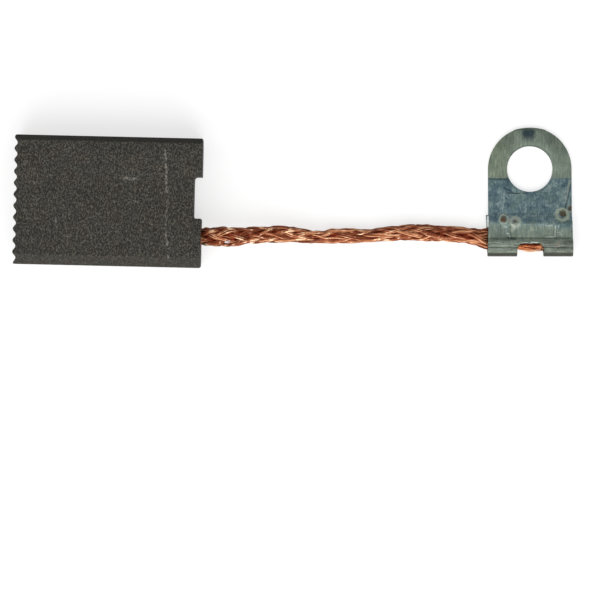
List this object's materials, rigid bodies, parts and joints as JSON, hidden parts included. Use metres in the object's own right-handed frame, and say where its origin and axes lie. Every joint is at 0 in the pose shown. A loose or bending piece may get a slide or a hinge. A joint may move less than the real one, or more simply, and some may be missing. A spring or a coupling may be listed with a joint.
{
  "type": "carbon brush",
  "caption": "Rectangular carbon brush with a grooved running face, keyed long edges, a spring notch, a braided copper shunt wire and a folded steel ring terminal.",
  "frame": {"origin": "middle of the block's lower broad face, on the surface that the brush lies on", "axes": "+X along the block from the running face to the wire end, +Y across it away from the wire, +Z through its thickness"},
  "size_m": [0.0696, 0.0185, 0.0063],
  "materials": {
    "carbon": "matte",
    "copper_powder": "matte",
    "copper": "satin",
    "plated_steel": "satin"
  },
  "bodies": {
    "root": {"carbon_block": "carbon", "tamping_plug": "copper_powder", "copper_braid": "copper", "terminal_lug": "plated_steel"}
  },
  "joints": []
}
